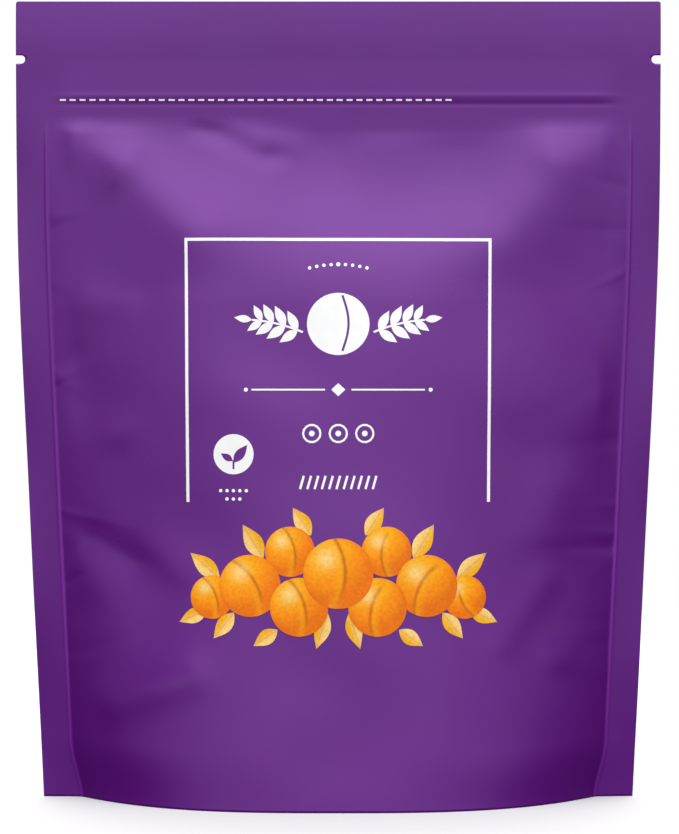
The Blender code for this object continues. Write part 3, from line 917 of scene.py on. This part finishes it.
def fruit_print(material):
    """A garland of whole round fruit and leaves, largest in the middle. Each lies a little over the last."""
    made = []
    for x, z, length, width, turn in GARLAND_LEAVES:
        for edge in EDGES:
            lift = LEAF_LIFT + LEAF_LIFT_STEP * len(made)
            place, direction = mirrored(x, turn, edge)
            made.append((lift, *painted_leaf(place, z, length, width, direction)))
    fruits = [(edge * x, z, r, turns[edge > 0]) for x, z, r, *turns in GARLAND_FRUITS for edge in EDGES]
    for number, fruit in enumerate([*fruits, MIDDLE_FRUIT]):
        made.append((FRUIT_LIFT + FRUIT_LIFT_STEP * number, *painted_fruit(*fruit)))
    points, faces, paint, count = [], [], [], 0
    for lift, flat, shape_faces, colour in made:
        points.append(on_wall(flat, lift))
        faces += [tuple(i + count for i in face) for face in shape_faces]
        paint.append(np.concatenate([np.clip(colour, 0, 1), np.ones((len(colour), 1))], axis=1))
        count += len(flat)
    return mesh_object("print_fruit", np.concatenate(points), faces, material, np.concatenate(paint))


# Build the pouch

film = film_material()
pouch = [
    (wall("film_front", FRONT, FRONT_GRID, film), ["wall_front"]),
    (wall("film_back", BACK, BACK_GRID, film), ["wall_back"]),
    (gusset(film), ["bottom_gusset"]),
]
for piece, nodes in pouch:
    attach(piece, "root")
    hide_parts(*nodes)
white = ink_material("White ink", WHITE_INK)
purple_ink = ink_material("Purple ink", PURPLE_INK, FILM_METALLIC)
fruit_ink = painted_material("Orange inks")
for piece in [*line_prints(white, purple_ink), fruit_print(fruit_ink)]:
    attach(piece, "root")
flesh, clear = apricot_material(), zip_material()
for name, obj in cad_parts.items():
    if name.startswith("apricot"):
        obj.material_slots[0].material = flesh
for name in ("zip_rib_strip", "zip_channel_strip"):
    strip = pressed_strip(name, clear)
    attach(strip, "root")
    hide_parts(name)


# Studio

SKY_STRENGTH = 3.0
# The room's brightness from straight down, 0, to straight up, 1
SKY_BY_HEIGHT = [
    (0.0, 0.03),
    (0.44, 0.05),
    (0.47, 0.17),
    (0.51, 0.37),
    (0.545, 0.45),
    (0.60, 0.475),
    (0.66, 0.60),
    (0.74, 0.80),
    (0.82, 1.02),
    (0.94, 1.10),
]
# Its share from the middle, 0, to the sides, 1: near the horizon and higher up
HORIZON_BY_SIDE = [(0.0, 1.0), (0.65, 1.0), (0.80, 0.70), (0.95, 0.35), (1.0, 0.2)]
UPPER_BY_SIDE = [(0.0, 1.0), (0.30, 0.90), (0.60, 0.45), (0.80, 0.20), (0.96, 0.05)]
HORIZON_TO_UPPER = [(0.55, 0.0), (0.62, 1.0)]
FLOOR_RADIUS = 0.6
FLOOR_CORNERS = 96
FLOOR_DROP = 0.00005
FLOOR_SHADE = 0.66
CAMERA_PLACE = (0.0003, -0.61, 0.094)
CAMERA_LENS = 106.2
CAMERA_SENSOR = 36.0
CAMERA_CLIP = (0.05, 50.0)


def sky(scene):
    """White to the camera. To the pouch a dark room with a broad soft light above, in front and behind."""
    scene.world = bpy.data.worlds.new("Studio")
    nodes = Nodes(scene.world)
    nodes.tree.nodes.clear()

    def ramp(factor, stops):
        return nodes.ramp(factor, [(position, grey(value)) for position, value in stops])

    generated = nodes.add("ShaderNodeTexCoord").outputs["Generated"]
    towards = nodes.add("ShaderNodeSeparateXYZ", {0: generated}).outputs
    rise = nodes.add("ShaderNodeMath", {0: towards["Z"], 1: 0.5, 2: 0.5}, operation="MULTIPLY_ADD").outputs[0]
    aside = nodes.add("ShaderNodeMath", {0: towards["X"]}, operation="ABSOLUTE").outputs[0]
    by_side = (ramp(aside, HORIZON_BY_SIDE), ramp(aside, UPPER_BY_SIDE))
    width = nodes.mix(ramp(rise, HORIZON_TO_UPPER), *by_side)
    light = nodes.mix(1.0, ramp(rise, SKY_BY_HEIGHT), width, "MULTIPLY")
    room = nodes.add("ShaderNodeBackground", {"Color": light, "Strength": SKY_STRENGTH}).outputs[0]
    seen = nodes.add("ShaderNodeBackground", {"Color": grey(1.0)}).outputs[0]
    by_camera = nodes.add("ShaderNodeLightPath").outputs["Is Camera Ray"]
    mixed = nodes.add("ShaderNodeMixShader", {0: by_camera, 1: room, 2: seen}).outputs[0]
    nodes.add("ShaderNodeOutputWorld", {"Surface": mixed})


def ground():
    """A plain pale floor that the light of the pouch's own surfaces doesn't see."""
    made, nodes = new_material("Floor")
    nodes.surface("Base Color", grey(FLOOR_SHADE))
    nodes.surface("Roughness", 0.9)
    nodes.surface("Specular IOR Level", 0.0)
    around = [(x, y, 0.0) for x, y in circle(0.0, 0.0, FLOOR_RADIUS, FLOOR_CORNERS)]
    floor = mesh_object("floor", around, [tuple(range(FLOOR_CORNERS))], made)
    floor.location.z = -FLOOR_DROP
    floor.visible_diffuse = floor.visible_glossy = False


def studio():
    scene = bpy.context.scene
    ground()
    sky(scene)
    data = bpy.data.cameras.new("Camera")
    data.sensor_width = CAMERA_SENSOR
    data.lens = CAMERA_LENS
    data.clip_start, data.clip_end = CAMERA_CLIP
    camera = link("Camera", data)
    camera.location = CAMERA_PLACE
    camera.rotation_euler = (math.radians(90), 0, 0)
    scene.camera = camera
    scene.view_settings.view_transform = "Standard"


studio()
